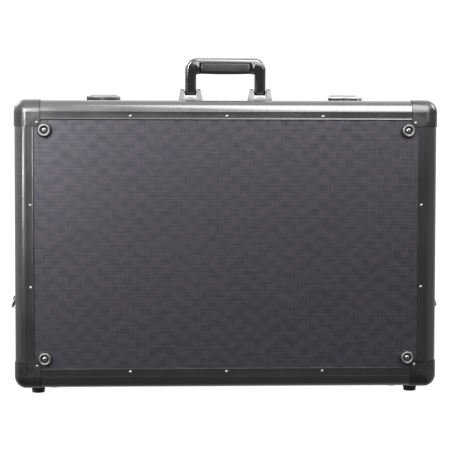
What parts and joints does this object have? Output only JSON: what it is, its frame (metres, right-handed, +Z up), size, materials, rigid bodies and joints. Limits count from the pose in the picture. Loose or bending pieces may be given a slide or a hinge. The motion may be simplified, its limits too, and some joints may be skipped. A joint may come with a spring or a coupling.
{
  "type": "aluminium attache case",
  "caption": "Hard case with round-nosed aluminium edge frame, ball corners, dark laminate panels, folding top handle, draw-over latches, a bottom-hinged lid and feet on face and base.",
  "frame": {"origin": "on the ground under the middle of the case, which stands on its bottom feet with the handle up and the lid shut", "axes": "+X to the right along the lid's hinge line, +Y from the base's face, which carries the round feet, through to the lid's face, +Z up towards the handle"},
  "size_m": [0.6668, 0.159, 0.5219],
  "materials": {
    "frame_aluminium": "gunmetal satin anodised extrusion with fine lengthwise draw lines",
    "corner_metal": "gunmetal satin pressed steel",
    "laminate": "dark grey laminate embossed with a fine woven grid, soft sheen",
    "lining_foam": "dark grey open-cell foam",
    "chrome": "bright plated fittings",
    "handle_gloss": "black gloss moulding",
    "grip_rubber": "black soft-touch rubber",
    "foot_rubber": "black moulded rubber",
    "button_metal": "plated sliding button"
  },
  "bodies": {
    "base": {"base_panel": "laminate", "base_band": "laminate", "base_rim": "frame_aluminium", "base_lining": "lining_foam", "base_frame_top": "frame_aluminium", "base_frame_bottom": "frame_aluminium", "base_frame_left": "frame_aluminium", "base_frame_right": "frame_aluminium", "base_post_top_left": "frame_aluminium", "base_post_top_right": "frame_aluminium", "base_post_bottom_left": "frame_aluminium", "base_post_bottom_right": "frame_aluminium", "base_corner_top_left": "corner_metal", "base_corner_top_right": "corner_metal", "base_corner_bottom_left": "corner_metal", "base_corner_bottom_right": "corner_metal", "face_foot_top_left": "foot_rubber", "face_foot_top_right": "foot_rubber", "face_foot_bottom_left": "foot_rubber", "face_foot_bottom_right": "foot_rubber", "stand_foot_base_left": "foot_rubber", "stand_foot_base_right": "foot_rubber", "handle_bracket_left": "chrome", "handle_bracket_right": "chrome", "latch_plate_left": "chrome", "latch_plate_right": "chrome", "hinge_left_base_leaf": "chrome", "hinge_right_base_leaf": "chrome", "strap_bracket_left": "chrome", "strap_bracket_right": "chrome"},
    "lid": {"lid_panel": "laminate", "lid_band": "laminate", "lid_rim": "frame_aluminium", "lid_lining": "lining_foam", "lid_frame_top": "frame_aluminium", "lid_frame_bottom": "frame_aluminium", "lid_frame_left": "frame_aluminium", "lid_frame_right": "frame_aluminium", "lid_post_top_left": "frame_aluminium", "lid_post_top_right": "frame_aluminium", "lid_post_bottom_left": "frame_aluminium", "lid_post_bottom_right": "frame_aluminium", "lid_corner_top_left": "corner_metal", "lid_corner_top_right": "corner_metal", "lid_corner_bottom_left": "corner_metal", "lid_corner_bottom_right": "corner_metal", "stand_foot_lid_left": "foot_rubber", "stand_foot_lid_right": "foot_rubber", "lock_body_left": "chrome", "lock_body_right": "chrome", "hinge_left_lid_leaf": "chrome", "hinge_right_lid_leaf": "chrome"},
    "handle": {"handle_bow": "handle_gloss", "handle_grip": "grip_rubber"},
    "hasp_left": {"hasp_left": "chrome"},
    "hasp_right": {"hasp_right": "chrome"},
    "button_left": {"lock_button_left": "button_metal"},
    "button_right": {"lock_button_right": "button_metal"},
    "ring_left": {"strap_ring_left": "chrome"},
    "ring_right": {"strap_ring_right": "chrome"}
  },
  "joints": [
    {"name": "lid_hinge", "type": "hinge", "parent": "base", "child": "lid", "pos_m": [0, 0.01845, 0.0088], "axis": [-1, 0, 0], "range_deg": [0, 100]},
    {"name": "handle_fold", "type": "hinge", "parent": "base", "child": "handle", "pos_m": [0, -0.01155, 0.4693], "axis": [1, 0, 0], "range_deg": [-90, 90]},
    {"name": "hasp_left_hinge", "type": "hinge", "parent": "base", "child": "hasp_left", "pos_m": [-0.19, 0.00945, 0.4608], "axis": [1, 0, 0], "range_deg": [0, 105]},
    {"name": "hasp_right_hinge", "type": "hinge", "parent": "base", "child": "hasp_right", "pos_m": [0.19, 0.00945, 0.4608], "axis": [1, 0, 0], "range_deg": [0, 105]},
    {"name": "button_left_slide", "type": "slide", "parent": "lid", "child": "button_left", "axis": [-1, 0, 0], "range_m": [0, 0.005], "stiffness_N_per_m": 300},
    {"name": "button_right_slide", "type": "slide", "parent": "lid", "child": "button_right", "axis": [1, 0, 0], "range_m": [0, 0.005], "stiffness_N_per_m": 300},
    {"name": "ring_left_swing", "type": "hinge", "parent": "base", "child": "ring_left", "pos_m": [-0.3264, -0.01755, 0.1479], "axis": [0, 1, 0], "range_deg": [0, 150]},
    {"name": "ring_right_swing", "type": "hinge", "parent": "base", "child": "ring_right", "pos_m": [0.3264, -0.01755, 0.1479], "axis": [0, -1, 0], "range_deg": [0, 150]}
  ]
}
